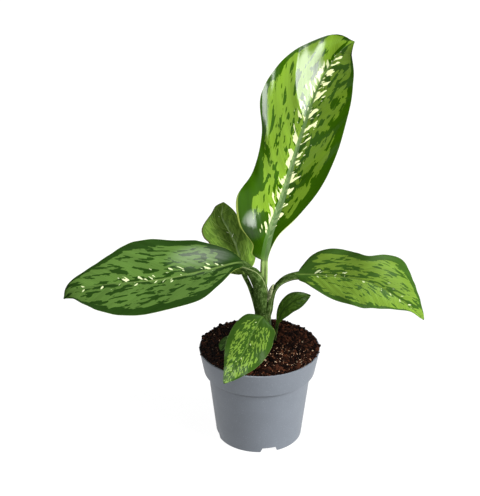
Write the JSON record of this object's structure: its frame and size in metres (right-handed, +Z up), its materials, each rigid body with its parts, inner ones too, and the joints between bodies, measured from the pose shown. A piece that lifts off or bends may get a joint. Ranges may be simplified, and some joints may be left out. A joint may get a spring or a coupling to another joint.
{
  "type": "potted dieffenbachia",
  "caption": "Young house plant with broad patterned leaves on a short sheathed stem, standing in a filled plastic nursery pot with a flared collar and drain channels in its base.",
  "frame": {"origin": "centre of the pot's underside, on the surface that it stands on", "axes": "+Z up along the pot's axis, -Y towards the viewer of the picture, +X to the right"},
  "size_m": [0.3373, 0.1525, 0.3946],
  "materials": {
    "pot_plastic": "satin",
    "soil": "matte",
    "stem": "satin",
    "leaf": "satin",
    "dark_leaf": "satin"
  },
  "bodies": {
    "root": {"pot": "pot_plastic", "soil": "soil", "stem": "stem", "leaf_upright": "leaf", "leaf_left": "leaf", "leaf_right": "leaf", "leaf_behind": "leaf", "leaf_front": "leaf", "leaf_low_right": "dark_leaf", "leaf_low_left": "dark_leaf"}
  },
  "joints": []
}
